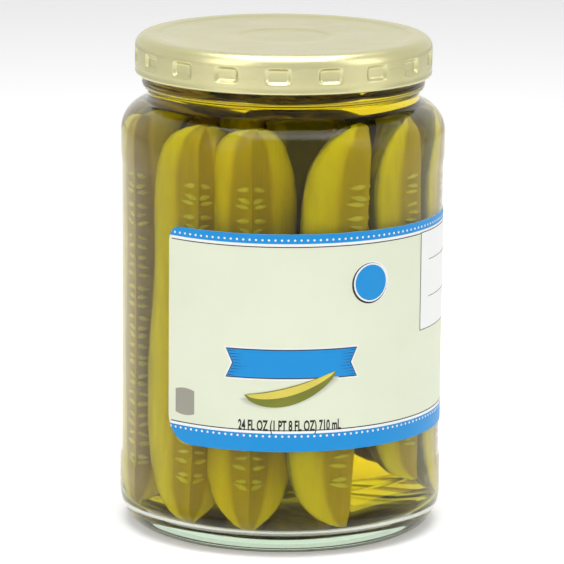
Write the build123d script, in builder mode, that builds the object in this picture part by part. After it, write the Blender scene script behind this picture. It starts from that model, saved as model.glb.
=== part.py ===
"""Pickle jar: a round glass jar with a wrapped paper label, brine and a twist-off metal cap.

Millimetres, +Z up. The origin is the centre of the ring that the jar stands on, and the middle
of the label's front faces -Y.
"""

import os
from math import acos, cos, degrees, radians, sin

from build123d import *

# Driving sizes of the jar
rim_z = 140.45  # height of the glass
panel_radius = 45.6  # recessed wall that carries the label

# Glass jar, outside
heel_proud = 0.5  # the lower contact band stands out from the panel by this much
heel_band_height = 8.0
heel_arc_radius = 13.8
heel_arc_turn = 29.0  # degrees of the heel arc, before the tighter corner under it
foot_corner_radius = 7.2
foot_width = 3.4  # of the flat ring that the jar stands on
push_up_height = 2.4  # how far the bottom rises at its centre
push_up_edge_height = 1.3
recess_slope_height = 3.2  # slopes above and below the recessed panel
panel_top_drop = 36.45  # from the rim down to the top of the panel
shoulder_proud = 0.35
shoulder_drop = 27.05  # from the rim down to the start of the shoulder arc
shoulder_arc_radius = 8.7
finish_inset = 6.4  # from the panel in to the wall that the cap goes over
neck_groove = 0.75
neck_fillet = 1.2
bead_proud = 0.8  # ring that the jar is handled by while it is made
neck_height = 2.88  # from the shoulder up to the bead
bead_height = 3.7
rim_round = 1.1

# Glass jar, inside
panel_wall = 2.4
finish_wall = 3.7
mouth_fillet = 1.5
floor_thickness = 4.2
floor_corner_radius = 8.5

# Brine
brine_gap = 7.0  # from the rim down to the liquid

# Paper label
label_thickness = 0.15
label_bottom_margin = 9.0  # from the ends of the recessed panel
label_top_margin = 12.0
label_span = 286.0  # degrees round the jar
label_start = -51.0  # its left edge, in degrees from the middle of the front
label_top_corner = 4.0
label_bottom_corner = 8.0
corner_cut_depth = 3.0

# Twist-off cap
cap_sheet = 0.25
cap_clearance = 2.55  # round the wall of the jar's mouth, where the thread and lugs meet
cap_shoulder_radius = 3.3
cap_skirt_drop = 10.85  # from the rim down to the end of the curl
cap_curl_radius = 0.85
cap_step_margin = 0.5  # the middle panel steps down just outside the mouth
cap_step_width = 0.8
cap_step_depth = 0.5
button_radius = 13.0
button_step = 0.35
grip_count = 18
grip_width = 5.2
grip_height = 3.7
grip_depth = 0.8
grip_taper = 45.0
grip_drop = 5.25  # from the rim down to the middle of a grip
grip_angle = 10.0  # of the first grip, in degrees from the middle of the front

# Sizes that follow from the ones above
heel_radius = panel_radius + heel_proud
shoulder_radius = panel_radius + shoulder_proud
finish_radius = panel_radius - finish_inset
neck_radius = finish_radius - neck_groove
bead_radius = finish_radius + bead_proud
inner_radius = panel_radius - panel_wall
mouth_radius = finish_radius - finish_wall
cap_radius = finish_radius + cap_clearance + cap_sheet
cap_step_radius = mouth_radius + cap_step_margin

foot_radius = (
    heel_radius
    - heel_arc_radius * (1 - cos(radians(heel_arc_turn)))
    - foot_corner_radius * cos(radians(heel_arc_turn))
)
shoulder_arc_z = rim_z - shoulder_drop
# The shoulder is an arc that ends where it meets the neck.
neck_offset = neck_radius - (shoulder_radius - shoulder_arc_radius)
shoulder_turn = degrees(acos(neck_offset / shoulder_arc_radius))
neck_corner_z = shoulder_arc_z + shoulder_arc_radius * sin(radians(shoulder_turn))
bead_bottom_z = neck_corner_z + neck_height
panel_top_z = rim_z - panel_top_drop
brine_z = rim_z - brine_gap
grip_z = rim_z - grip_drop
curl_z = rim_z - cap_skirt_drop + cap_curl_radius

# The outside of the jar as a full body.
with BuildPart() as outside:
    with BuildSketch(Plane.XZ):
        with BuildLine():
            foot_inner = foot_radius - foot_width
            dome_edge = foot_inner - foot_width
            bottom = ThreePointArc(
                (0, push_up_height),
                (dome_edge / 2, push_up_height - (push_up_height - push_up_edge_height) / 4),
                (dome_edge, push_up_edge_height),
            )
            Polyline(bottom @ 1, (foot_inner, 0), (foot_radius, 0))
            corner = JernArc((foot_radius, 0), (1, 0), foot_corner_radius, 90 - heel_arc_turn)
            heel = JernArc(corner @ 1, corner % 1, heel_arc_radius, heel_arc_turn)
            panel_bottom_z = (heel @ 1).Y + heel_band_height + recess_slope_height
            Polyline(
                heel @ 1,
                (heel_radius, panel_bottom_z - recess_slope_height),
                (panel_radius, panel_bottom_z),
                (panel_radius, panel_top_z),
                (shoulder_radius, panel_top_z + recess_slope_height),
                (shoulder_radius, shoulder_arc_z),
            )
            shoulder = JernArc(
                (shoulder_radius, shoulder_arc_z), (0, 1), shoulder_arc_radius, shoulder_turn
            )
            Line(shoulder @ 1, (neck_radius, bead_bottom_z))
            bead = ThreePointArc(
                (neck_radius, bead_bottom_z),
                (bead_radius, bead_bottom_z + bead_height / 2),
                (finish_radius, bead_bottom_z + bead_height),
            )
            finish = Line(bead @ 1, (finish_radius, rim_z - rim_round))
            rim = JernArc(finish @ 1, (0, 1), rim_round, 90)
            Polyline(rim @ 1, (0, rim_z), (0, push_up_height))
        make_face()
    revolve(axis=Axis.Z)
    neck_corner = (
        outside.edges()
        .filter_by(GeomType.CIRCLE)
        .sort_by(lambda edge: abs(edge.radius - neck_radius) + abs(edge.center().Z - neck_corner_z))
    )
    fillet(neck_corner[0], radius=neck_fillet)

# The space inside, from the floor up to the mouth.
with BuildPart() as inside:
    with BuildSketch(Plane.XZ):
        with BuildLine():
            floor_z = push_up_edge_height + floor_thickness
            floor_edge = inner_radius - floor_corner_radius
            floor = ThreePointArc(
                (0, push_up_height + floor_thickness),
                (floor_edge / 2, floor_z + (push_up_height - push_up_edge_height) * 0.75),
                (floor_edge, floor_z),
            )
            floor_corner = JernArc(floor @ 1, (1, 0), floor_corner_radius, 90)
            wall = Line(floor_corner @ 1, (inner_radius, shoulder_arc_z))
            # The inner shoulder turns in, and then up into the mouth.
            ceiling_radius = inner_radius - mouth_radius - mouth_fillet
            ceiling = JernArc(wall @ 1, (0, 1), ceiling_radius, 90)
            throat = JernArc(ceiling @ 1, (-1, 0), mouth_fillet, -90)
            mouth = Line(throat @ 1, (mouth_radius, rim_z - rim_round))
            lip = JernArc(mouth @ 1, (0, 1), rim_round, -90)
            Polyline(lip @ 1, (0, rim_z), (0, push_up_height + floor_thickness))
        make_face()
    revolve(axis=Axis.Z)

with BuildPart() as glass_jar:
    add(outside.part)
    add(inside.part, mode=Mode.SUBTRACT)

with BuildPart() as brine:
    add(inside.part)
    split(bisect_by=Plane.XY.offset(brine_z), keep=Keep.BOTTOM)

# The label wraps round the recessed panel, and leaves a gap at the back of the left side.
label_bottom_z = panel_bottom_z + label_bottom_margin
label_top_z = panel_top_z - label_top_margin
with BuildPart() as label:
    with BuildSketch(Plane.XZ.rotated((0, 0, label_start - 90))):
        with Locations((panel_radius, label_bottom_z)):
            Rectangle(label_thickness, label_top_z - label_bottom_z, align=(Align.MIN, Align.MIN))
    revolve(axis=Axis.Z, revolution_arc=label_span)
    # Each corner is rounded by cutting away what lies outside its quarter circle.
    for end_angle, along in ((label_start, 1), (label_start + label_span, -1)):
        outward = Vector(1, 0, 0).rotate(Axis.Z, end_angle - 90)
        tangent = Vector(0, along, 0).rotate(Axis.Z, end_angle - 90)
        for corner_z, upward, radius in (
            (label_bottom_z, 1, label_bottom_corner),
            (label_top_z, -1, label_top_corner),
        ):
            corner_plane = Plane(
                origin=outward * panel_radius + Vector(0, 0, corner_z), x_dir=tangent, z_dir=outward
            )
            with BuildSketch(corner_plane):
                Rectangle(2 * radius, 2 * radius)
                with Locations((radius, along * upward * radius)):
                    Circle(radius, mode=Mode.SUBTRACT)
            extrude(amount=corner_cut_depth, both=True, mode=Mode.SUBTRACT)


def cap_form(inset):
    """Return the cap as a solid form, its surface moved inwards by inset."""
    radius = cap_radius - inset
    corner_radius = cap_shoulder_radius - inset
    top_z = rim_z + cap_sheet - inset
    panel_z = top_z - cap_step_depth
    with BuildPart() as form:
        with BuildSketch(Plane.XZ):
            with BuildLine():
                Polyline((0, curl_z), (radius, curl_z), (radius, top_z - corner_radius))
                shoulder_round = JernArc((radius, top_z - corner_radius), (0, 1), corner_radius, 90)
                Polyline(
                    shoulder_round @ 1,
                    (cap_step_radius, top_z),
                    (cap_step_radius - cap_step_width, panel_z),
                    (button_radius, panel_z),
                    (button_radius - button_step, panel_z - button_step),
                    (0, panel_z - button_step),
                    (0, curl_z),
                )
            make_face()
        revolve(axis=Axis.Z)
        # Each grip is a pocket with a flat floor and sloping sides, pressed into the skirt.
        for index in range(grip_count):
            turn = grip_angle + index * 360 / grip_count - 90
            outward = Vector(1, 0, 0).rotate(Axis.Z, turn)
            grip_floor = Plane(
                origin=outward * (radius - grip_depth) + Vector(0, 0, grip_z),
                x_dir=Vector(0, 1, 0).rotate(Axis.Z, turn),
                z_dir=outward,
            )
            with BuildSketch(grip_floor):
                Rectangle(grip_width, grip_height)
            extrude(amount=2 * grip_depth, taper=-grip_taper, mode=Mode.SUBTRACT)
    return form.part


with BuildPart() as lid:
    add(cap_form(0))
    add(cap_form(cap_sheet), mode=Mode.SUBTRACT)
    # The skirt ends in a rolled curl.
    with BuildSketch(Plane.XZ):
        with Locations((cap_radius - cap_curl_radius, curl_z)):
            Circle(cap_curl_radius)
    revolve(axis=Axis.Z)

glass_jar.part.label = "glass_jar"
brine.part.label = "brine"
label.part.label = "label"
lid.part.label = "lid"

os.makedirs("parts", exist_ok=True)
for piece in (glass_jar, brine, label, lid):
    export_step(piece.part, f"parts/{piece.part.label}.step")
    print(piece.part.label, "volume", round(piece.part.volume), "mm3")
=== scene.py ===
"""Looks of a glass jar of pickled cucumber spears: glass, brine, spears, paper label and gold cap."""

import math
import random

import bpy
from mathutils import Matrix, Vector


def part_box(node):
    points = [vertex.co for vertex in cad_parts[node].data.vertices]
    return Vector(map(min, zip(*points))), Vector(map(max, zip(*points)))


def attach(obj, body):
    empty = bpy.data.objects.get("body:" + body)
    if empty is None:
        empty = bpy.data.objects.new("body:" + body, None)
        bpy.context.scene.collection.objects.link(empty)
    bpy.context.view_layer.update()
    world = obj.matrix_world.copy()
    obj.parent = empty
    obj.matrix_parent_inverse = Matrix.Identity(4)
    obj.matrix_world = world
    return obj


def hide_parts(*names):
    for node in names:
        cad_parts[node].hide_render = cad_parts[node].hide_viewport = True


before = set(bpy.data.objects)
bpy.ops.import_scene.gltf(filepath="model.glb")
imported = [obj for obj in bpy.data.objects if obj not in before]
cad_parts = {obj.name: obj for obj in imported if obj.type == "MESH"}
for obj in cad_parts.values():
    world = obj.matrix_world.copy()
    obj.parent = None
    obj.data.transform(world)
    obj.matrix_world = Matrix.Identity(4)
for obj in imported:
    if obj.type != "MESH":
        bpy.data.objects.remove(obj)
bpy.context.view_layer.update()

MM = 0.001
random.seed(24)

# Sizes read from the frame
_, GLASS_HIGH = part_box("glass_jar")
_, BRINE_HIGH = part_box("brine")
LABEL_LOW, LABEL_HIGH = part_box("label")
CAP_LOW, CAP_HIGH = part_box("lid")
RIM_Z = GLASS_HIGH.z
HEEL_RADIUS = GLASS_HIGH.x
INNER_RADIUS = BRINE_HIGH.x
BRINE_Z = BRINE_HIGH.z
LABEL_SHEET = 0.15 * MM
PANEL_RADIUS = LABEL_HIGH.x - LABEL_SHEET
LABEL_BOTTOM_Z = LABEL_LOW.z
LABEL_HEIGHT = LABEL_HIGH.z - LABEL_LOW.z
CAP_RADIUS = CAP_HIGH.x

# Jar outline
SHOULDER_RADIUS = PANEL_RADIUS + 0.35 * MM
SHOULDER_ARC_RADIUS = 8.7 * MM
SHOULDER_Z = RIM_Z - 27.05 * MM
PANEL_TOP_Z = RIM_Z - 36.45 * MM
PANEL_BOTTOM_Z = 21.6 * MM
RECESS_SLOPE = 3.2 * MM
HEEL_ARC_RADIUS = 13.8 * MM
HEEL_ARC_TURN = 29.0
FOOT_CORNER_RADIUS = 7.2 * MM
FOOT_WIDTH = 3.4 * MM
PUSH_UP_HEIGHT = 2.4 * MM
PUSH_UP_EDGE = 1.3 * MM
FINISH_RADIUS = PANEL_RADIUS - 6.4 * MM
NECK_RADIUS = FINISH_RADIUS - 0.75 * MM
BEAD_RADIUS = FINISH_RADIUS + 0.8 * MM
BEAD_BOTTOM_Z = RIM_Z - 15.55 * MM
BEAD_HEIGHT = 3.7 * MM
RIM_ROUND = 1.1 * MM
MOUTH_RADIUS = FINISH_RADIUS - 3.7 * MM
MOUTH_FILLET = 1.5 * MM
FLOOR_THICKNESS = 4.2 * MM
FLOOR_CORNER_RADIUS = 8.5 * MM
BRINE_OVERLAP = 0.25 * MM  # how far the brine reaches into the glass, so that no air gap shows
SPIN_STEPS = 180


# ---------------------------------------------------------------- modelling by hand


def deselect_all():
    """Leave edit mode and clear the selection."""
    if bpy.context.object and bpy.context.object.mode != "OBJECT":
        bpy.ops.object.mode_set(mode="OBJECT")
    bpy.ops.object.select_all(action="DESELECT")


def pick(piece):
    """Make one piece the only one selected, and active."""
    deselect_all()
    piece.select_set(True)
    bpy.context.view_layer.objects.active = piece


def open_edit(piece):
    """Enter edit mode on a piece with everything in it selected."""
    pick(piece)
    bpy.ops.object.mode_set(mode="EDIT")
    bpy.ops.mesh.select_all(action="SELECT")


def close_edit():
    bpy.ops.object.mode_set(mode="OBJECT")


def apply_place(piece):
    """Put a piece's place, turn and scale into its mesh."""
    pick(piece)
    bpy.ops.object.transform_apply(location=True, rotation=True, scale=True)


def apply_modifier(piece, kind, **settings):
    """Add a modifier with these settings and apply it."""
    pick(piece)
    bpy.ops.object.modifier_add(type=kind)
    modifier = piece.modifiers[-1]
    for key, value in settings.items():
        setattr(modifier, key, value)
    bpy.ops.object.modifier_apply(modifier=modifier.name)


def join(pieces, name):
    """Join several pieces into one with its own name."""
    deselect_all()
    for piece in pieces:
        piece.select_set(True)
    bpy.context.view_layer.objects.active = pieces[0]
    if len(pieces) > 1:
        bpy.ops.object.join()
    whole = bpy.context.object
    whole.name = name
    whole.data.name = name
    return whole


def smooth(piece, angle=40.0):
    pick(piece)
    bpy.ops.object.shade_smooth_by_angle(angle=math.radians(angle))


def arc(centre, radius, start, end, steps):
    """Return points along an arc from start to end degrees, both ends included."""
    points = []
    for step in range(steps + 1):
        turn = math.radians(start + (end - start) * step / steps)
        points.append((centre[0] + radius * math.cos(turn), centre[1] + radius * math.sin(turn)))
    return points


def draw_outline(name, points, closed=False, flat=False):
    """Draw a chain of edges by extruding one vertex, through (x, z) points or, if flat, (x, y) points."""
    deselect_all()
    bpy.ops.mesh.primitive_plane_add(size=MM)
    piece = bpy.context.object
    piece.name = name
    bpy.ops.object.mode_set(mode="EDIT")
    bpy.ops.mesh.select_mode(type="VERT")
    bpy.ops.mesh.select_all(action="SELECT")
    bpy.ops.mesh.merge(type="CENTER")
    places = [Vector((x, y, 0)) if flat else Vector((x, 0, y)) for x, y in points]
    bpy.ops.transform.translate(value=places[0])
    for start, end in zip(places, places[1:]):
        bpy.ops.mesh.extrude_region_move(TRANSFORM_OT_translate={"value": end - start})
    if closed:
        bpy.ops.mesh.select_all(action="SELECT")
        bpy.ops.mesh.edge_face_add()
    bpy.ops.object.mode_set(mode="OBJECT")
    return piece


def spin_outline(name, points, steps=SPIN_STEPS):
    """Turn an outline of (radius, z) points right round the jar's axis into a closed shell."""
    piece = draw_outline(name, points)
    open_edit(piece)
    bpy.ops.mesh.spin(steps=steps, angle=2 * math.pi, center=(0, 0, 0), axis=(0, 0, 1))
    bpy.ops.mesh.select_all(action="SELECT")
    bpy.ops.mesh.remove_doubles(threshold=0.002 * MM)
    bpy.ops.mesh.normals_make_consistent(inside=False)
    close_edit()
    return piece


# ---------------------------------------------------------------- materials


def new_material(name):
    """Return a material with its node tree and Principled shader."""
    material = bpy.data.materials.new(name)
    material.use_nodes = True
    return material, material.node_tree, material.node_tree.nodes["Principled BSDF"]


def add_node(tree, kind, **settings):
    node = tree.nodes.new(kind)
    for key, value in settings.items():
        setattr(node, key, value)
    return node


def noise(tree, vector, scale, detail=3.0, roughness=0.5):
    """Add a noise texture on a vector socket and return its factor."""
    node = add_node(tree, "ShaderNodeTexNoise")
    node.inputs["Scale"].default_value = scale
    node.inputs["Detail"].default_value = detail
    node.inputs["Roughness"].default_value = roughness
    tree.links.new(vector, node.inputs["Vector"])
    return node.outputs["Fac"]


def ramp(tree, factor, stops):
    """Add a colour ramp with (place, colour) stops and return its colour."""
    node = add_node(tree, "ShaderNodeValToRGB")
    elements = node.color_ramp.elements
    elements[0].position, elements[0].color = stops[0][0], (*stops[0][1], 1)
    elements[1].position, elements[1].color = stops[-1][0], (*stops[-1][1], 1)
    for place, colour in stops[1:-1]:
        element = elements.new(place)
        element.color = (*colour, 1)
    tree.links.new(factor, node.inputs["Fac"])
    return node.outputs["Color"]


def mix_colour(tree, factor, first, second, blend="MIX"):
    """Mix two colours, each a socket or a plain colour, by a factor socket or number."""
    node = add_node(tree, "ShaderNodeMix", data_type="RGBA", blend_type=blend)
    for socket, value in ((node.inputs[0], factor), (node.inputs[6], first), (node.inputs[7], second)):
        if isinstance(value, bpy.types.NodeSocket):
            tree.links.new(value, socket)
        elif isinstance(value, (int, float)):
            socket.default_value = value
        else:
            socket.default_value = (*value, 1)
    return node.outputs[2]


def bump(tree, shader, height, distance, strength=1.0):
    """Feed a height socket to a shader's normal."""
    node = add_node(tree, "ShaderNodeBump")
    node.inputs["Strength"].default_value = strength
    node.inputs["Distance"].default_value = distance
    tree.links.new(height, node.inputs["Height"])
    tree.links.new(node.outputs["Normal"], shader.inputs["Normal"])


def object_coordinates(tree, scale=(1, 1, 1)):
    coordinates = add_node(tree, "ShaderNodeTexCoord")
    mapping = add_node(tree, "ShaderNodeMapping")
    mapping.inputs["Scale"].default_value = scale
    tree.links.new(coordinates.outputs["Object"], mapping.inputs["Vector"])
    return mapping.outputs["Vector"]


def clear_glass():
    """Clear soda glass with a faint green body colour."""
    material, tree, shader = new_material("clear_glass")
    shader.inputs["Base Color"].default_value = (1, 1, 1, 1)
    shader.inputs["Roughness"].default_value = 0.0
    shader.inputs["IOR"].default_value = 1.5
    shader.inputs["Specular Tint"].default_value = (0.2, 0.2, 0.2, 1)
    shader.inputs["Transmission Weight"].default_value = 1.0
    body = add_node(tree, "ShaderNodeVolumeAbsorption")
    body.inputs["Color"].default_value = (0.72, 0.86, 0.7, 1)
    body.inputs["Density"].default_value = 18.0
    tree.links.new(body.outputs["Volume"], tree.nodes["Material Output"].inputs["Volume"])
    return material


def pickling_brine():
    """Clear yellow-green liquid that darkens with depth."""
    material, tree, shader = new_material("pickling_brine")
    shader.inputs["Base Color"].default_value = (1, 1, 1, 1)
    shader.inputs["Roughness"].default_value = 0.0
    shader.inputs["IOR"].default_value = 1.34
    # Liquid that wets glass hardly reflects at all.
    shader.inputs["Specular Tint"].default_value = (0.0, 0.0, 0.0, 1)
    shader.inputs["Transmission Weight"].default_value = 1.0
    body = add_node(tree, "ShaderNodeVolumeAbsorption")
    body.inputs["Color"].default_value = (0.96, 0.92, 0.0, 1)
    body.inputs["Density"].default_value = 100.0
    tree.links.new(body.outputs["Volume"], tree.nodes["Material Output"].inputs["Volume"])
    return material


def cucumber():
    """Wet pickled cucumber: gel with seeds near the core, pale flesh, then green skin."""
    material, tree, shader = new_material("pickled_cucumber")
    depth = add_node(tree, "ShaderNodeAttribute", attribute_name="depth")
    grain = add_node(tree, "ShaderNodeAttribute", attribute_name="grain")
    wobble = noise(tree, grain.outputs["Vector"], 0.16, 3.0)
    shift = add_node(tree, "ShaderNodeMath", operation="MULTIPLY_ADD")
    shift.inputs[1].default_value = 0.22
    shift.inputs[2].default_value = -0.11
    tree.links.new(wobble, shift.inputs[0])
    total = add_node(tree, "ShaderNodeMath", operation="ADD")
    tree.links.new(depth.outputs["Fac"], total.inputs[0])
    tree.links.new(shift.outputs[0], total.inputs[1])
    zones = ramp(
        tree,
        total.outputs[0],
        [
            (0.0, (0.70, 0.52, 0.004)),
            (0.42, (0.64, 0.48, 0.003)),
            (0.52, (0.92, 0.74, 0.006)),
            (0.60, (0.97, 0.82, 0.008)),
            (0.86, (0.98, 0.84, 0.010)),
            (0.97, (0.72, 0.62, 0.008)),
            (1.03, (0.36, 0.34, 0.015)),
        ],
    )
    mottle = noise(tree, grain.outputs["Vector"], 0.35, 5.0, 0.6)
    tone = ramp(tree, mottle, [(0.3, (0.86, 0.84, 0.80)), (0.7, (1.0, 1.0, 1.0))])
    colour = mix_colour(tree, 1.0, zones, tone, "MULTIPLY")
    tree.links.new(colour, shader.inputs["Base Color"])
    shader.inputs["Roughness"].default_value = 0.35
    shader.inputs["IOR"].default_value = 1.4
    shader.inputs["Specular IOR Level"].default_value = 0.04
    shader.inputs["Subsurface Weight"].default_value = 0.35
    shader.inputs["Subsurface Radius"].default_value = (1.0, 0.8, 0.2)
    shader.inputs["Subsurface Scale"].default_value = 3.0 * MM
    bump(tree, shader, noise(tree, grain.outputs["Vector"], 0.9, 4.0), 0.25 * MM)
    return material


def seed_flesh():
    """Pale wet seeds."""
    material, tree, shader = new_material("cucumber_seed")
    grain = add_node(tree, "ShaderNodeAttribute", attribute_name="grain")
    tone = ramp(
        tree, noise(tree, grain.outputs["Vector"], 0.8), [(0.3, (0.86, 0.72, 0.03)), (0.7, (0.95, 0.86, 0.08))]
    )
    tree.links.new(tone, shader.inputs["Base Color"])
    shader.inputs["Roughness"].default_value = 0.3
    shader.inputs["Specular IOR Level"].default_value = 0.04
    shader.inputs["Subsurface Weight"].default_value = 0.3
    shader.inputs["Subsurface Radius"].default_value = (1.0, 0.8, 0.2)
    shader.inputs["Subsurface Scale"].default_value = 1.5 * MM
    return material


def coated_paper():
    """Cream coated paper with a faint fibre mottle."""
    material, tree, shader = new_material("cream_paper")
    place = object_coordinates(tree)
    tone = ramp(
        tree,
        noise(tree, place, 60.0, 4.0),
        [(0.3, (0.735, 0.775, 0.60)), (0.7, (0.765, 0.80, 0.635))],
    )
    tree.links.new(tone, shader.inputs["Base Color"])
    shader.inputs["Roughness"].default_value = 0.5
    shader.inputs["Specular IOR Level"].default_value = 0.35
    bump(tree, shader, noise(tree, place, 2200.0, 2.0), 0.01 * MM)
    return material


def print_ink(name, colour, spread=0.04):
    """A flat printed colour with a trace of unevenness."""
    material, tree, shader = new_material(name)
    place = object_coordinates(tree)
    dark = tuple(channel * (1 - spread) for channel in colour)
    tone = ramp(tree, noise(tree, place, 90.0, 3.0), [(0.3, dark), (0.7, colour)])
    tree.links.new(tone, shader.inputs["Base Color"])
    shader.inputs["Roughness"].default_value = 0.45
    shader.inputs["Specular IOR Level"].default_value = 0.35
    return material


def gold_lacquer():
    """Champagne gold lacquer over tinplate, satin all over, with a faint random tone and streaked gloss."""
    material, tree, shader = new_material("gold_lacquer")
    place = object_coordinates(tree)
    brushed = object_coordinates(tree, (1, 1, 14))
    tone = ramp(
        tree,
        noise(tree, place, 45.0, 4.0),
        [(0.3, (0.51, 0.485, 0.255)), (0.7, (0.57, 0.54, 0.30))],
    )
    tree.links.new(tone, shader.inputs["Base Color"])
    shader.inputs["Metallic"].default_value = 1.0
    gloss = ramp(
        tree,
        noise(tree, brushed, 120.0, 4.0),
        [(0.3, (0.26, 0.26, 0.26)), (0.7, (0.36, 0.36, 0.36))],
    )
    tree.links.new(gloss, shader.inputs["Roughness"])
    bump(tree, shader, noise(tree, place, 260.0, 3.0), 0.03 * MM)
    return material


# ---------------------------------------------------------------- glass jar and brine


def jar_outside():
    """Outline of the outside, from the middle of the bottom up to the rim."""
    heel_centre = (HEEL_RADIUS - HEEL_ARC_RADIUS, 0)
    corner_x = heel_centre[0] + (HEEL_ARC_RADIUS - FOOT_CORNER_RADIUS) * math.cos(math.radians(HEEL_ARC_TURN))
    heel_z = FOOT_CORNER_RADIUS + (HEEL_ARC_RADIUS - FOOT_CORNER_RADIUS) * math.sin(math.radians(HEEL_ARC_TURN))
    foot_inner = corner_x - FOOT_WIDTH
    points = [
        (0, PUSH_UP_HEIGHT),
        (foot_inner * 0.3, PUSH_UP_HEIGHT * 0.96),
        (foot_inner * 0.6, PUSH_UP_HEIGHT * 0.82),
        (foot_inner - FOOT_WIDTH, PUSH_UP_EDGE),
        (foot_inner - FOOT_WIDTH * 0.4, 0.4 * PUSH_UP_EDGE),
        (foot_inner, 0),
    ]
    points += arc((corner_x, FOOT_CORNER_RADIUS), FOOT_CORNER_RADIUS, -90, -HEEL_ARC_TURN, 12)
    points += arc((heel_centre[0], heel_z), HEEL_ARC_RADIUS, -HEEL_ARC_TURN, 0, 8)[1:]
    points += [
        (HEEL_RADIUS, PANEL_BOTTOM_Z - RECESS_SLOPE),
        (HEEL_RADIUS - 0.08 * MM, PANEL_BOTTOM_Z - RECESS_SLOPE * 0.75),
        (PANEL_RADIUS + 0.08 * MM, PANEL_BOTTOM_Z - RECESS_SLOPE * 0.25),
        (PANEL_RADIUS, PANEL_BOTTOM_Z),
        (PANEL_RADIUS, LABEL_BOTTOM_Z + LABEL_HEIGHT / 2),
        (PANEL_RADIUS, PANEL_TOP_Z),
        (PANEL_RADIUS + 0.06 * MM, PANEL_TOP_Z + RECESS_SLOPE * 0.25),
        (SHOULDER_RADIUS - 0.06 * MM, PANEL_TOP_Z + RECESS_SLOPE * 0.75),
        (SHOULDER_RADIUS, PANEL_TOP_Z + RECESS_SLOPE),
    ]
    shoulder_x = SHOULDER_RADIUS - SHOULDER_ARC_RADIUS
    points += arc((shoulder_x, SHOULDER_Z), SHOULDER_ARC_RADIUS, 0, 74, 16)
    neck_turn = math.acos((NECK_RADIUS - shoulder_x) / SHOULDER_ARC_RADIUS)
    neck_z = SHOULDER_Z + SHOULDER_ARC_RADIUS * math.sin(neck_turn)
    points += [
        (NECK_RADIUS + 0.35 * MM, neck_z + 0.1 * MM),
        (NECK_RADIUS + 0.08 * MM, neck_z + 0.45 * MM),
        (NECK_RADIUS, neck_z + 1.0 * MM),
    ]
    bead_mid = BEAD_BOTTOM_Z + BEAD_HEIGHT / 2
    for step in range(9):
        share = step / 8
        base = NECK_RADIUS + (FINISH_RADIUS - NECK_RADIUS) * share
        swell = (BEAD_RADIUS - (NECK_RADIUS + FINISH_RADIUS) / 2) * math.sin(math.pi * share) ** 0.8
        points.append((base + swell, bead_mid + BEAD_HEIGHT * (share - 0.5)))
    points += [(FINISH_RADIUS, RIM_Z - RIM_ROUND - 4 * MM)]
    points += arc((FINISH_RADIUS - RIM_ROUND, RIM_Z - RIM_ROUND), RIM_ROUND, 0, 90, 6)
    return points


def jar_inside(grow, top_z):
    """Outline of the inside, from the middle of the floor up to top_z, moved out by grow."""
    floor_z = PUSH_UP_EDGE + FLOOR_THICKNESS - grow
    floor_edge = INNER_RADIUS - FLOOR_CORNER_RADIUS
    points = [
        (0, PUSH_UP_HEIGHT + FLOOR_THICKNESS - grow),
        (floor_edge * 0.5, floor_z + 0.8 * MM),
        (floor_edge * 0.8, floor_z + 0.25 * MM),
    ]
    corner_centre = (floor_edge, PUSH_UP_EDGE + FLOOR_THICKNESS + FLOOR_CORNER_RADIUS)
    points += arc(corner_centre, FLOOR_CORNER_RADIUS + grow, -90, 0, 14)
    points += [(INNER_RADIUS + grow, LABEL_BOTTOM_Z + LABEL_HEIGHT / 2)]
    ceiling_radius = INNER_RADIUS - MOUTH_RADIUS - MOUTH_FILLET
    points += arc((INNER_RADIUS - ceiling_radius, SHOULDER_Z), ceiling_radius + grow, 0, 82, 12)
    throat_z = SHOULDER_Z + ceiling_radius + MOUTH_FILLET
    points += arc((MOUTH_RADIUS + MOUTH_FILLET, throat_z), MOUTH_FILLET - grow, 262, 180, 6)
    points += [(MOUTH_RADIUS + grow, top_z)]
    return points


def make_glass_jar(material):
    """The jar's wall as one closed shell, with its rim rounded over into the mouth."""
    inside = jar_inside(0, RIM_Z - RIM_ROUND)
    rim_inner = arc((MOUTH_RADIUS + RIM_ROUND, RIM_Z - RIM_ROUND), RIM_ROUND, 90, 180, 6)
    points = jar_outside() + rim_inner + list(reversed(inside))[1:]
    jar = spin_outline("jar_glass", points)
    jar.data.materials.append(material)
    smooth(jar, 50)
    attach(jar, "root")
    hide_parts("glass_jar")


def make_brine(material):
    """The liquid, reaching just into the glass, with a small meniscus at its edge."""
    points = jar_inside(BRINE_OVERLAP, BRINE_Z + 0.3 * MM)
    points += [
        (MOUTH_RADIUS - 0.8 * MM, BRINE_Z - 0.1 * MM),
        (MOUTH_RADIUS - 3 * MM, BRINE_Z - 0.3 * MM),
    ]
    points += [(0, BRINE_Z - 0.3 * MM)]
    brine = spin_outline("pickling_brine", points)
    brine.data.materials.append(material)
    smooth(brine, 50)
    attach(brine, "root")
    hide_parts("brine")


# ---------------------------------------------------------------- cucumber spears

SPEAR_RINGS = 34
SEED_PITCH = 2.9 * MM
SEED_SINK = 0.25 * MM  # of the seeds into the cut face
SEED_REACH = 0.54  # share of the radius that the seed gel takes
GEL_SINK = 0.5 * MM
WALL_REACH = 42.4 * MM
SPEAR_CLEARANCE = 0.3 * MM


def spear_taper(share, blunt):
    """Radius of a cucumber along its length, as a share of its middle radius."""
    middle = abs(2 * share - 1)
    return max(0.06, (1 - middle**blunt) ** 0.5) * (1 - 0.05 * math.cos(3 * share * math.pi))


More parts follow.
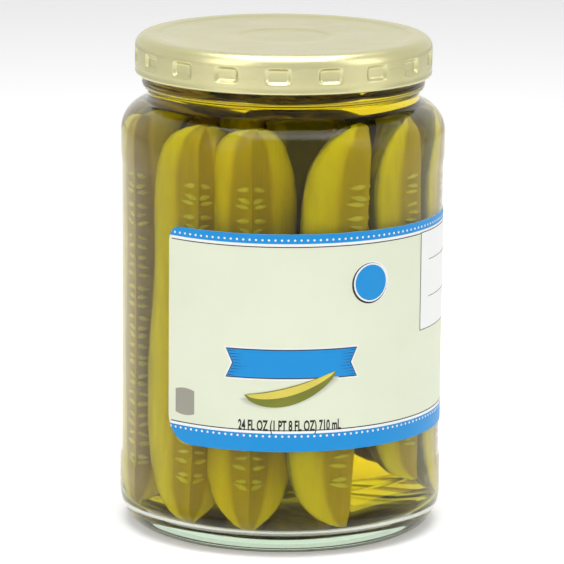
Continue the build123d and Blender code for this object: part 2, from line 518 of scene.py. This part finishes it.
def spear_section(radius, wedge):
    """Points of a quarter's section: one cut face, the skin's arc and the other cut face."""
    shares = (0.08, 0.2, 0.32, 0.44, 0.52, 0.58, 0.7, 0.85, 0.95)
    sinks = [GEL_SINK * math.sin(math.pi * min(share / SEED_REACH, 1.0)) for share in shares]
    near = [(share * radius, -sink) for share, sink in zip(shares, sinks)]
    skin = arc((0, 0), radius, -1.5, -wedge + 1.5, 10)
    turn = Matrix.Rotation(math.radians(-wedge), 2)
    far = [tuple(turn @ Vector((share * radius, sink))) for share, sink in zip(shares, sinks)]
    return [(0.0, 0.0)] + near + skin + list(reversed(far))


def make_seed_row(length, material):
    """One column of seeds lying on a cut face, their blunt ends towards the core."""
    row = []
    count = int(length * 0.8 / SEED_PITCH)
    for index in range(count):
        deselect_all()
        size = random.uniform(0.8, 1.15)
        reach = random.uniform(2.4, 3.2)
        bpy.ops.mesh.primitive_uv_sphere_add(segments=10, ring_count=6, radius=MM)
        seed = bpy.context.object
        open_edit(seed)
        bpy.ops.transform.resize(value=(reach, 0.55, 0.72 * size))
        bpy.ops.mesh.select_all(action="DESELECT")
        close_edit()
        # The tail half is drawn in towards its tip.
        for vertex in seed.data.vertices:
            if vertex.co.x > 0:
                pinch = 1 - 0.6 * vertex.co.x / (reach * MM)
                vertex.co.z *= pinch
                vertex.co.y *= pinch
        seed.rotation_euler = (0, math.radians(random.uniform(-12, 12)), 0)
        drift = random.uniform(-0.25, 0.25)
        seed.location = (
            (reach + random.uniform(0.5, 1.5)) * MM,
            -SEED_SINK,
            length * 0.1 + (index + drift) * SEED_PITCH,
        )
        row.append(seed)
    seeds = join(row, "seed_row")
    apply_place(seeds)
    seeds.data.materials.append(material)
    smooth(seeds, 80)
    return seeds


def copy_piece(piece, name):
    """Copy a piece with its own mesh."""
    pick(piece)
    bpy.ops.object.duplicate(linked=False)
    copied = bpy.context.object
    copied.name = name
    return copied


def make_quarter(name, radius, length, wedge, blunt, material):
    """One quarter of a cucumber, its core edge on the Z axis and one cut face towards +Y."""
    size = spear_taper(0.0, blunt)
    section = [(x * size, y * size) for x, y in spear_section(radius, wedge)]
    spear = draw_outline(name, section, closed=True, flat=True)
    open_edit(spear)
    height = 0.0
    for ring in range(1, SPEAR_RINGS + 1):
        share = 0.5 - 0.5 * math.cos(math.pi * ring / SPEAR_RINGS)
        rise = share * length - height
        height = share * length
        grown = spear_taper(share, blunt) * random.uniform(0.99, 1.01)
        bpy.ops.mesh.extrude_region_move(TRANSFORM_OT_translate={"value": (0, 0, rise)})
        ratio = grown / size
        bpy.ops.transform.resize(value=(ratio, ratio, 1), center_override=(0, 0, height))
        size = grown
    bpy.ops.mesh.select_all(action="SELECT")
    bpy.ops.mesh.normals_make_consistent(inside=False)
    close_edit()
    spear.data.materials.append(material)
    smooth(spear, 50)
    return spear


def mark_flesh(piece, radius, length, blunt, offset):
    """Store how deep each point lies in the cucumber, and its own place along the grain."""
    mesh = piece.data
    depth = mesh.attributes.new("depth", "FLOAT", "POINT")
    grain = mesh.attributes.new("grain", "FLOAT_VECTOR", "POINT")
    for index, vertex in enumerate(mesh.vertices):
        reach = math.hypot(vertex.co.x, vertex.co.y)
        share = min(max(vertex.co.z / length, 0.0), 1.0)
        depth.data[index].value = reach / (radius * spear_taper(share, blunt))
        grain.data[index].vector = (vertex.co / MM) * Vector((1, 1, 0.22)) + offset


def inner_reach(z):
    """Radius of the space inside the jar at a height, less the spears' clearance."""
    floor_centre_z = PUSH_UP_EDGE + FLOOR_THICKNESS + FLOOR_CORNER_RADIUS
    ceiling_radius = INNER_RADIUS - MOUTH_RADIUS - MOUTH_FILLET
    if z < floor_centre_z:
        radius, off = FLOOR_CORNER_RADIUS, floor_centre_z - z
    else:
        radius, off = ceiling_radius, max(z - SHOULDER_Z, 0)
    return INNER_RADIUS - radius + math.sqrt(max(radius**2 - off**2, 0)) - SPEAR_CLEARANCE


def keep_inside(piece):
    """Press whatever would enter the glass back against the inside of the wall."""
    for vertex in piece.data.vertices:
        reach = math.hypot(vertex.co.x, vertex.co.y)
        limit = inner_reach(vertex.co.z)
        if reach > limit:
            vertex.co.x *= limit / reach
            vertex.co.y *= limit / reach


def make_spear(index, plan, seed_row, seed_length, flesh):
    """Build one spear with seeds on both cut faces, bow it, and stand it in the jar."""
    apex, swing, inset, radius, foot, length, lean, tip_in, bow, blunt = plan
    radius, foot, length, inset = radius * MM, foot * MM, length * MM, inset * MM
    wedge = random.uniform(84, 92)
    quarter = make_quarter(f"spear_{index}", radius, length, wedge, blunt, flesh)
    mark_flesh(quarter, radius, length, blunt, Vector((31.0 * index, 7.0 * index, 0)))
    pieces = [quarter]
    for side in (1, -1):
        seeds = copy_piece(seed_row, f"seeds_{index}")
        seeds.scale = (radius / (19.5 * MM), side, length / seed_length)
        seeds.rotation_euler = (0, 0, 0 if side == 1 else math.radians(-wedge))
        apply_place(seeds)
        if side == -1:
            open_edit(seeds)
            bpy.ops.mesh.normals_make_consistent(inside=False)
            close_edit()
        mark_flesh(seeds, radius, length, blunt, Vector((31.0 * index, 7.0 * index, 0)))
        pieces.append(seeds)
    spear = join(pieces, f"spear_{index}")
    for vertex in spear.data.vertices:
        share = vertex.co.z / length
        vertex.co.x -= bow * MM * 4 * share * (1 - share)
    # The core edge stands at its place by the wall, with the outward cut face along the wall.
    turn = math.radians(apex)
    core = Vector((math.sin(turn), -math.cos(turn), 0)) * (WALL_REACH - inset)
    spear.rotation_euler = (math.radians(tip_in), math.radians(lean), 0)
    apply_place(spear)
    spear.rotation_euler = (0, 0, turn + math.pi + math.radians(-13.0 - swing))
    spear.location = core + Vector((0, 0, foot))
    apply_place(spear)
    keep_inside(spear)
    return spear


# For each spear: degrees round the jar of its core edge, how far its outward face swings off the
# wall, how far in from the wall its core stands, radius, height of its lower end, length, lean
# along the wall and tip towards the middle in degrees, bow, and how blunt its ends are.
MIDDLE = (212, 40.9)  # swing and inset that stand a spear's core in the middle of the jar
SPEAR_PLANS = [
    (-75, 0, 0.0, 19.0, 8.0, 110, 1.0, 0.0, 0.8, 7.0),
    (-43.5, 2, 0.0, 18.5, 7.0, 112, -1.5, 0.0, 1.0, 6.0),
    (-19.5, 22, 0.2, 18.0, 7.0, 112, 0.0, 0.0, 0.6, 6.5),
    (18.0, 0, 0.0, 19.5, 7.5, 112, -3.0, 0.0, 0.8, 6.0),
    (53.0, 2, 0.0, 18.0, 17.0, 102, 0.5, 0.0, 0.8, 6.5),
    (83, 0, 0.0, 19.0, 8.0, 110, 0.5, 0.0, 0.6, 6.0),
    (112, 10, 0.3, 19.0, 8.0, 110, 0.0, 0.0, 0.8, 6.5),
    (141, 0, 0.2, 18.5, 9.0, 108, 1.0, 0.0, 0.8, 6.5),
    (170, 20, 0.3, 18.5, 7.0, 112, -1.0, 0.0, 0.6, 6.5),
    (199, 0, 0.0, 19.0, 8.0, 110, 1.0, 0.0, 0.8, 6.5),
    (228, 12, 0.2, 18.5, 7.5, 111, -1.0, 0.0, 0.8, 6.5),
    (256, 0, 0.0, 18.5, 8.5, 109, 0.0, 0.0, 0.6, 6.5),
    (10, *MIDDLE, 14.0, 8.0, 108, 0.0, 0.0, 0.0, 6.5),
    (100, *MIDDLE, 14.0, 9.0, 108, 0.0, 0.0, 0.0, 6.5),
    (190, *MIDDLE, 14.0, 8.0, 110, 0.0, 0.0, 0.0, 6.5),
    (280, *MIDDLE, 14.0, 8.5, 109, 0.0, 0.0, 0.0, 6.5),
]


def make_spears(flesh, seed_look):
    """All the spears that the jar holds, as one piece."""
    seed_length = 110 * MM
    seed_row = make_seed_row(seed_length, seed_look)
    spears = [
        make_spear(index, plan, seed_row, seed_length, flesh) for index, plan in enumerate(SPEAR_PLANS)
    ]
    bpy.data.objects.remove(seed_row)
    heap = join(spears, "pickle_spears")
    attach(heap, "root")


# ---------------------------------------------------------------- paper label and its print

LABEL_RADIUS = PANEL_RADIUS
LABEL_LEFT = -51.0 * math.pi / 180 * LABEL_RADIUS
LABEL_RIGHT = 235.0 * math.pi / 180 * LABEL_RADIUS
STRIP = 1.2 * MM
PAPER_PROUD = LABEL_SHEET
INK = 0.03 * MM
TOP_BAND = 2.7 * MM
TOP_STRIPE = 0.76 * MM
RULE = 0.28 * MM
BOTTOM_BAND = 5.2 * MM
TOP_CORNER = 4.0 * MM
BOTTOM_CORNER = 8.0 * MM
DOT_PITCH = 1.78 * MM
DOT_RADIUS = 0.32 * MM


def cut_strips(piece):
    """Cut a flat upright shape into narrow strips, so that it can be wrapped smoothly."""
    xs = [vertex.co.x for vertex in piece.data.vertices]
    first, last = math.ceil(min(xs) / STRIP), math.floor(max(xs) / STRIP)
    open_edit(piece)
    for number in range(first, last + 1):
        bpy.ops.mesh.select_all(action="SELECT")
        bpy.ops.mesh.bisect(plane_co=(number * STRIP, 0, 0), plane_no=(1, 0, 0))
    close_edit()


def wrap_round_jar(piece, proud, thickness):
    """Give a flat upright shape its thickness and bend it round the jar, proud of the glass."""
    cut_strips(piece)
    open_edit(piece)
    bpy.ops.mesh.normals_make_consistent(inside=False)
    close_edit()
    if piece.data.polygons[0].normal.y > 0:
        open_edit(piece)
        bpy.ops.mesh.flip_normals()
        close_edit()
    apply_modifier(piece, "SOLIDIFY", thickness=thickness, offset=-1.0)
    piece.location.y = -proud
    apply_place(piece)
    xs = [vertex.co.x for vertex in piece.data.vertices]
    width = max(xs) - min(xs)
    apply_modifier(
        piece, "SIMPLE_DEFORM", deform_method="BEND", deform_axis="Z", angle=width / LABEL_RADIUS
    )
    piece.location.y = -LABEL_RADIUS
    apply_place(piece)
    smooth(piece, 30)


def flat_shape(name, points):
    """A filled flat shape from its (x, z) corners, in label millimetres from the front's middle."""
    placed = [(x * MM, z * MM) for x, z in points]
    return draw_outline(name, placed, closed=True)


def finish_print(piece, name, ink, layer):
    """Wrap a printed shape on the paper, in its layer of ink."""
    wrap_round_jar(piece, PAPER_PROUD + layer * INK, INK)
    piece.name = name
    piece.data.materials.clear()
    piece.data.materials.append(ink)
    return piece


def rounded_sheet(name, low_x, high_x, low_z, high_z, low_corner, high_corner):
    """A flat upright sheet with its own corner radii at the bottom and the top."""
    points = arc((low_x + low_corner, low_z + low_corner), low_corner, 180, 270, 8)
    points += arc((high_x - low_corner, low_z + low_corner), low_corner, 270, 360, 8)
    points += arc((high_x - high_corner, high_z - high_corner), high_corner, 0, 90, 8)
    points += arc((low_x + high_corner, high_z - high_corner), high_corner, 90, 180, 8)
    return draw_outline(name, points, closed=True)


def trim_below(piece, z, keep_above):
    """Cut a flat upright shape along a level and keep one side of it."""
    open_edit(piece)
    bpy.ops.mesh.bisect(
        plane_co=(0, 0, z), plane_no=(0, 0, 1), clear_inner=keep_above, clear_outer=not keep_above
    )
    close_edit()


def paper_sheet(name, inset=0.0):
    return rounded_sheet(
        name,
        LABEL_LEFT + inset,
        LABEL_RIGHT - inset,
        LABEL_BOTTOM_Z + inset,
        LABEL_BOTTOM_Z + LABEL_HEIGHT - inset,
        BOTTOM_CORNER - inset,
        TOP_CORNER - inset,
    )


def label_strip(low, high):
    """Corners of a strip that runs the label's length, a millimetre short of each end."""
    left, right = LABEL_LEFT + MM, LABEL_RIGHT - MM
    return [(left, low), (right, low), (right, high), (left, high)]


def make_label(paper, blue, white, black):
    """The wrapped paper with its bands, rules and dots all along it."""
    top = LABEL_BOTTOM_Z + LABEL_HEIGHT
    sheet = paper_sheet("label_paper")
    wrap_round_jar(sheet, PAPER_PROUD, PAPER_PROUD)
    sheet.data.materials.append(paper)
    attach(sheet, "root")
    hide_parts("label")

    bands = []
    for level, above in ((top - TOP_BAND, True), (LABEL_BOTTOM_Z + BOTTOM_BAND, False)):
        band = paper_sheet("band", inset=0.01 * MM)
        trim_below(band, level, above)
        bands.append(finish_print(band, "band", blue, 1))
    stripes = []
    for low, high in (
        (top - TOP_BAND - TOP_STRIPE, top - TOP_BAND),
        (LABEL_BOTTOM_Z + BOTTOM_BAND, LABEL_BOTTOM_Z + BOTTOM_BAND + TOP_STRIPE),
    ):
        stripe = draw_outline(
            "stripe", label_strip(low, high), True
        )
        stripes.append(finish_print(stripe, "stripe", white, 1))
    rules = []
    for low in (top - TOP_BAND - TOP_STRIPE - RULE, LABEL_BOTTOM_Z + BOTTOM_BAND + TOP_STRIPE):
        rule = draw_outline(
            "rule",
            label_strip(low, low + RULE),
            True,
        )
        rules.append(finish_print(rule, "rule", black, 1))
    dots = []
    dot_rows = (
        (top - TOP_BAND * 0.62, 2.2 * MM),
        (LABEL_BOTTOM_Z + BOTTOM_BAND - 0.75 * MM, 1.0 * MM),
    )
    for z, margin in dot_rows:
        deselect_all()
        bpy.ops.mesh.primitive_circle_add(
            vertices=10, radius=DOT_RADIUS, fill_type="NGON", rotation=(math.pi / 2, 0, 0),
            location=(LABEL_LEFT + margin, 0, z),
        )
        dot = bpy.context.object
        apply_place(dot)
        count = int((LABEL_RIGHT - LABEL_LEFT - 2 * margin) / DOT_PITCH) + 1
        apply_modifier(
            dot, "ARRAY", count=count, use_relative_offset=False, use_constant_offset=True,
            constant_offset_displace=(DOT_PITCH, 0, 0),
        )
        dots.append(finish_print(dot, "dots", white, 2))
    return bands, stripes, rules, dots


def centred_box(x, z, width, height):
    return [
        (x - width / 2, z - height / 2),
        (x + width / 2, z - height / 2),
        (x + width / 2, z + height / 2),
        (x - width / 2, z + height / 2),
    ]


def disc(x, z, radius, steps=40):
    return arc((x, z), radius, 0, 360 - 360 / steps, steps - 1)


def ribbon(x, z, width, height, notch):
    """A swallow-tailed ribbon."""
    left, right = x - width / 2, x + width / 2
    return [
        (left, z - height / 2),
        (right, z - height / 2),
        (right - notch, z),
        (right, z + height / 2),
        (left, z + height / 2),
        (left + notch, z),
    ]


def make_front_print(blue, deep_blue, white, black, grey, yellow, green, pale_grey):
    """The shapes on the front of the label."""
    whites, blues, blacks, greys = [], [], [], []
    # Ribbon across the middle, with hatching at both of its ends.
    ribbon_x, ribbon_z, ribbon_width, ribbon_height = -3.2, 55.5, 36.6, 7.7
    halo = flat_shape("halo", ribbon(ribbon_x, ribbon_z, 38.4, 9.2, 1.9))
    whites.append(finish_print(halo, "halo", white, 1))
    blacks.append(
        finish_print(flat_shape("edge", ribbon(ribbon_x, ribbon_z, 37.3, 8.3, 1.9)), "edge", black, 2)
    )
    blues.append(
        finish_print(
            flat_shape("ribbon", ribbon(ribbon_x, ribbon_z, ribbon_width, ribbon_height, 1.9)), "ribbon", blue, 3
        )
    )
    hatches = []
    for side in (-1, 1):
        end = ribbon_x + side * (ribbon_width / 2 - 0.25)
        for line in range(9):
            z = ribbon_z - ribbon_height / 2 + (line + 0.5) * ribbon_height / 9
            notch = 1.9 * (1 - abs(z - ribbon_z) / (ribbon_height / 2))
            start = end - side * notch
            reach = 2.2 + 1.9 * ((line * 5) % 4) / 3
            points = [(start, z - 0.11), (start, z + 0.11), (start - side * reach, z)]
            hatches.append(finish_print(flat_shape("hatch", points), "hatch", deep_blue, 4))
    # Round badge.
    whites.append(finish_print(flat_shape("ring", disc(19.6, 77.3, 6.0)), "ring", white, 1))
    blacks.append(
        finish_print(
            flat_shape("ring_edge", disc(19.35, 77.2, 5.75)),
            "ring_edge", black, 2,
        )
    )
    whites.append(finish_print(flat_shape("ring_in", disc(19.6, 77.35, 5.45)), "ring_in", white, 3))
    blues.append(finish_print(flat_shape("badge", disc(19.65, 77.35, 5.0)), "badge", blue, 4))
    # Small badge with bowed top and bottom.
    badge = arc((-34.7, 37.2), 9.4, 110, 70, 8) + arc((-34.7, 48.3), 9.4, 290, 250, 8)
    greys.append(finish_print(flat_shape("small_badge", badge), "small_badge", grey, 1))
    # A cut spear over its soft shadow.
    shadow_steps = []
    for layer, grow in enumerate((1.5, 0.9, 0.3)):
        points = [(x, z - 1.2) for x, z in spear_print(grow, -0.4 - grow, 0.55)]
        shade = flat_shape("shade", points)
        shadow_steps.append(finish_print(shade, "shade", pale_grey[layer], 1 + layer))
    greens = [finish_print(flat_shape("peel", spear_print(0.0, 0.0, 1.0)), "peel", green, 5)]
    yellows = [finish_print(flat_shape("cut", spear_print(-0.5, 1.9, 0.62)), "cut", yellow, 6)]
    # Panel for the facts at the right, kept as a plain ruled frame.
    facts_left, facts_right, facts_low, facts_high = 39.7, 67.0, 60.6, 88.7
    edge = centred_box(
        (facts_left + facts_right) / 2, (facts_low + facts_high) / 2, facts_right - facts_left, facts_high - facts_low
    )
    field = centred_box(
        (facts_left + facts_right) / 2,
        (facts_low + facts_high) / 2,
        facts_right - facts_left - 0.5,
        facts_high - facts_low - 0.5,
    )
    blacks.append(finish_print(flat_shape("facts_edge", edge), "facts_edge", black, 2))
    whites.append(finish_print(flat_shape("facts", field), "facts", white, 3))
    rules_left, rules_right = 44.6, facts_right - 0.8
    for z in (80.3, 69.7):
        line = centred_box((rules_left + rules_right) / 2, z, rules_right - rules_left, 0.16)
        blacks.append(finish_print(flat_shape("facts_rule", line), "facts_rule", black, 4))
    return whites, blues, blacks, greys, hatches, shadow_steps, greens, yellows


def spear_print(grow, lift, belly):
    """Outline of a lens-shaped cut spear: its upper edge is nearly straight, its lower one bowed."""
    left, right = -16.4 - grow, 9.4 + grow
    upper, lower = [], []
    for step in range(21):
        share = step / 20
        x = left + (right - left) * share
        spine = 46.6 + 6.6 * share**1.5
        swell = math.sin(math.pi * share) ** 0.6
        upper.append((x, spine + swell * (0.9 + grow * 0.5) - 0.6 * math.sin(math.pi * share)))
        lower.append((x, spine - swell * (5.0 + grow) * belly + lift * swell * 0.3))
    return upper + list(reversed(lower))[1:-1]


def make_volume_text(black):
    """The plain statement of volume along the bottom of the front."""
    deselect_all()
    bpy.ops.object.text_add(rotation=(math.pi / 2, 0, 0))
    words = bpy.context.object
    words.data.body = "24 FL OZ (1 PT 8 FL OZ) 710 mL"
    words.data.align_x = "CENTER"
    words.data.offset = 0.03
    words.data.resolution_u = 3
    bpy.ops.object.convert(target="MESH")
    words = bpy.context.object
    apply_place(words)
    xs = [vertex.co.x for vertex in words.data.vertices]
    zs = [vertex.co.z for vertex in words.data.vertices]
    tall = max(zs) - min(zs)
    pick(words)
    words.scale = (28.9 * MM / (max(xs) - min(xs)), 1, 4.1 * MM / tall)
    apply_place(words)
    zs = [vertex.co.z for vertex in words.data.vertices]
    words.location = (-3.7 * MM, 0, 35.55 * MM - min(zs))
    apply_place(words)
    return finish_print(words, "volume", black, 1)


def finish_prints(groups):
    """Join printed shapes of one ink and attach them."""
    for name, pieces in groups:
        piece = join(pieces, name)
        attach(piece, "root")


# ---------------------------------------------------------------- twist-off cap

CAP_SHEET = 0.25 * MM
CAP_TOP = CAP_HIGH.z
CAP_SHOULDER = 3.3 * MM
CAP_STEP_RADIUS = MOUTH_RADIUS + 0.5 * MM
GRIP_COUNT = 18
COLUMNS = 8  # of faces from one grip to the next
GRIP_HIGH_Z = CAP_TOP - CAP_SHOULDER - 0.1 * MM
GRIP_LOW_Z = CAP_LOW.z + 2.9 * MM
GRIP_Z = (GRIP_HIGH_Z + GRIP_LOW_Z) / 2
GRIP_TALL = GRIP_HIGH_Z - GRIP_LOW_Z
CURL_RADIUS = 0.85 * MM
GRIP_ANGLE = 10.0


def cap_outline():
    """Outer outline of the cap, from the middle of its top down to the end of the curl."""
    panel_z = CAP_TOP - 0.5 * MM
    points = [
        (0, panel_z - 0.25 * MM),
        (6.2 * MM, panel_z - 0.25 * MM),
        (6.9 * MM, panel_z - 0.42 * MM),
        (12.2 * MM, panel_z - 0.42 * MM),
        (12.8 * MM, panel_z - 0.35 * MM),
        (13.4 * MM, panel_z - 0.05 * MM),
        (14.2 * MM, panel_z),
        (CAP_STEP_RADIUS - 1.6 * MM, panel_z),
        (CAP_STEP_RADIUS - 0.9 * MM, panel_z + 0.06 * MM),
        (CAP_STEP_RADIUS - 0.2 * MM, CAP_TOP - 0.12 * MM),
        (CAP_STEP_RADIUS + 0.5 * MM, CAP_TOP),
    ]
    points += arc((CAP_RADIUS - CAP_SHOULDER, CAP_TOP - CAP_SHOULDER), CAP_SHOULDER, 90, 0, 9)
    points += [(CAP_RADIUS, GRIP_Z + GRIP_TALL / 2), (CAP_RADIUS, GRIP_Z), (CAP_RADIUS, GRIP_Z - GRIP_TALL / 2)]
    curl_z = CAP_LOW.z + CURL_RADIUS
    curl_x = CAP_RADIUS - CURL_RADIUS
    points += [(CAP_RADIUS - 0.12 * MM, curl_z + 0.8 * MM)]
    points += arc((curl_x, curl_z), CURL_RADIUS, 10, -170, 9)
    return points


def make_cap(gold):
    """Drawn sheet cap with a stepped top, pressed grips round its skirt and a rolled curl."""
    steps = GRIP_COUNT * COLUMNS
    cap = spin_outline("twist_off_cap", cap_outline(), steps)
    # Each grip takes the middle columns of its share of the skirt.
    open_edit(cap)
    bpy.ops.mesh.select_mode(type="FACE")
    bpy.ops.mesh.select_all(action="DESELECT")
    close_edit()
    pitch = 360 / GRIP_COUNT
    for face in cap.data.polygons:
        centre = face.center
        if abs(centre.z - GRIP_Z) > GRIP_TALL / 2 or math.hypot(centre.x, centre.y) < CAP_RADIUS * 0.99:
            continue
        angle = math.degrees(math.atan2(centre.x, -centre.y)) - GRIP_ANGLE
        off = (angle + pitch / 2) % pitch - pitch / 2
        face.select = abs(off) < pitch * 0.25
    bpy.ops.object.mode_set(mode="EDIT")
    bpy.ops.mesh.inset(thickness=0.12 * MM, depth=0)
    bpy.ops.mesh.inset(thickness=0.8 * MM, depth=-0.8 * MM)
    bpy.ops.mesh.inset(thickness=0.15 * MM, depth=-0.03 * MM)
    close_edit()
    cap.data.materials.append(gold)
    apply_modifier(cap, "SUBSURF", levels=1, render_levels=1)
    apply_modifier(cap, "SOLIDIFY", thickness=CAP_SHEET, offset=-1.0)
    smooth(cap, 40)
    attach(cap, "root")
    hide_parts("lid")


# ---------------------------------------------------------------- floor, light and camera


DIFFUSE_LIGHT = 0.35  # that the surroundings throw on matt surfaces
FLOOR_GLOW = 0.24  # lifts the floor to white for rays that look at it


def white_rays(tree):
    """1 for rays that should see plain white surroundings: camera, glossy and transmission rays."""
    path = add_node(tree, "ShaderNodeLightPath")
    seen = path.outputs["Is Camera Ray"]
    for name in ("Is Glossy Ray", "Is Transmission Ray"):
        either = add_node(tree, "ShaderNodeMath", operation="MAXIMUM")
        tree.links.new(seen, either.inputs[0])
        tree.links.new(path.outputs[name], either.inputs[1])
        seen = either.outputs[0]
    return seen


def make_stage():
    """White floor and background that keep the jar's shadow and show white in glass and metal."""
    deselect_all()
    bpy.ops.mesh.primitive_plane_add(size=6.0, location=(0, 0, 0))
    floor = bpy.context.object
    floor.name = "floor"
    material, tree, shader = new_material("floor_white")
    shader.inputs["Base Color"].default_value = (0.97, 0.97, 0.97, 1)
    shader.inputs["Roughness"].default_value = 0.9
    shader.inputs["Specular IOR Level"].default_value = 0.1
    shader.inputs["Emission Color"].default_value = (1, 1, 1, 1)
    glow = add_node(tree, "ShaderNodeMath", operation="MULTIPLY")
    glow.inputs[1].default_value = FLOOR_GLOW
    tree.links.new(white_rays(tree), glow.inputs[0])
    tree.links.new(glow.outputs[0], shader.inputs["Emission Strength"])
    floor.data.materials.append(material)

    world = bpy.data.worlds.new("studio")
    bpy.context.scene.world = world
    world.use_nodes = True
    tree = world.node_tree
    background = tree.nodes["Background"]
    background.inputs["Color"].default_value = (1, 1, 1, 1)
    strength = add_node(tree, "ShaderNodeMapRange")
    strength.inputs["To Min"].default_value = DIFFUSE_LIGHT
    strength.inputs["To Max"].default_value = 1.0
    tree.links.new(white_rays(tree), strength.inputs["Value"])
    tree.links.new(strength.outputs["Result"], background.inputs["Strength"])


def add_lamp(name, place, target, size, power):
    light = bpy.data.lights.new(name, "AREA")
    light.shape = "RECTANGLE"
    light.size, light.size_y = size
    light.energy = power
    lamp = bpy.data.objects.new(name, light)
    bpy.context.scene.collection.objects.link(lamp)
    lamp.location = place
    lamp.rotation_euler = (Vector(target) - Vector(place)).to_track_quat("-Z", "Y").to_euler()


def make_lights():
    middle = (0, 0, RIM_Z / 2)
    add_lamp("left_box", (-0.7, -0.55, 0.55), middle, (0.5, 0.8), 2.2)
    add_lamp("right_box", (0.8, -0.5, 0.5), middle, (0.5, 0.8), 1.8)
    add_lamp("top_box", (0, -0.1, 1.0), middle, (0.8, 0.8), 10)


def make_camera():
    """A long lens slightly above the jar, turned a little to the left of the label's middle."""
    scale = 1.0066
    distance, height, pitch, azimuth, roll = 1.150 * scale, 0.313 * scale, 12.0, -8.0, 0.55
    focal_px, frame_px, sensor = 4145.0, 564.0, 36.0
    camera = bpy.data.cameras.new("camera")
    camera.sensor_width = sensor
    camera.lens = focal_px * sensor / frame_px
    camera.clip_end = 20.0
    camera.shift_x = 0.4 / frame_px
    stand = bpy.data.objects.new("camera", camera)
    bpy.context.scene.collection.objects.link(stand)
    turn = math.radians(azimuth)
    place = Vector((math.sin(turn) * distance, -math.cos(turn) * distance, height))
    look = Matrix.Rotation(turn, 4, "Z") @ Matrix.Rotation(math.radians(90 - pitch), 4, "X")
    stand.matrix_world = Matrix.Translation(place) @ look @ Matrix.Rotation(math.radians(roll), 4, "Z")
    bpy.context.scene.camera = stand


# ---------------------------------------------------------------- build it all

make_camera()
make_stage()
make_lights()
make_glass_jar(clear_glass())
make_brine(pickling_brine())
make_spears(cucumber(), seed_flesh())

paper = coated_paper()
blue = print_ink("blue_ink", (0.0, 0.27, 0.67))
deep_blue = print_ink("deep_blue_ink", (0.0, 0.06, 0.26))
white = print_ink("white_ink", (0.86, 0.87, 0.85), 0.01)
black = print_ink("black_ink", (0.012, 0.012, 0.012))
grey = print_ink("grey_ink", (0.33, 0.32, 0.26))
yellow = print_ink("yellow_ink", (0.74, 0.62, 0.10), 0.12)
green = print_ink("green_ink", (0.20, 0.22, 0.02), 0.25)
soft_greys = [
    print_ink(
        f"shade_ink_{index}", (0.68 - 0.08 * index, 0.71 - 0.09 * index, 0.57 - 0.07 * index)
    )
    for index in range(3)
]

bands, stripes, rules, dots = make_label(paper, blue, white, black)
whites, blues, blacks, greys, hatches, shades, greens, yellows = make_front_print(
    blue, deep_blue, white, black, grey, yellow, green, soft_greys
)
blacks.append(make_volume_text(black))
finish_prints(
    [
        ("label_blue_print", bands + blues),
        ("label_white_print", stripes + dots + whites),
        ("label_black_print", rules + blacks),
        ("label_grey_print", greys),
        ("label_hatch_print", hatches),
        ("label_shade_print", shades),
        ("label_green_print", greens),
        ("label_yellow_print", yellows),
    ],
)
make_cap(gold_lacquer())

settings = bpy.context.scene
settings.view_settings.view_transform = "Standard"
settings.cycles.max_bounces = 24
settings.cycles.transmission_bounces = 24

bpy.context.view_layer.update()
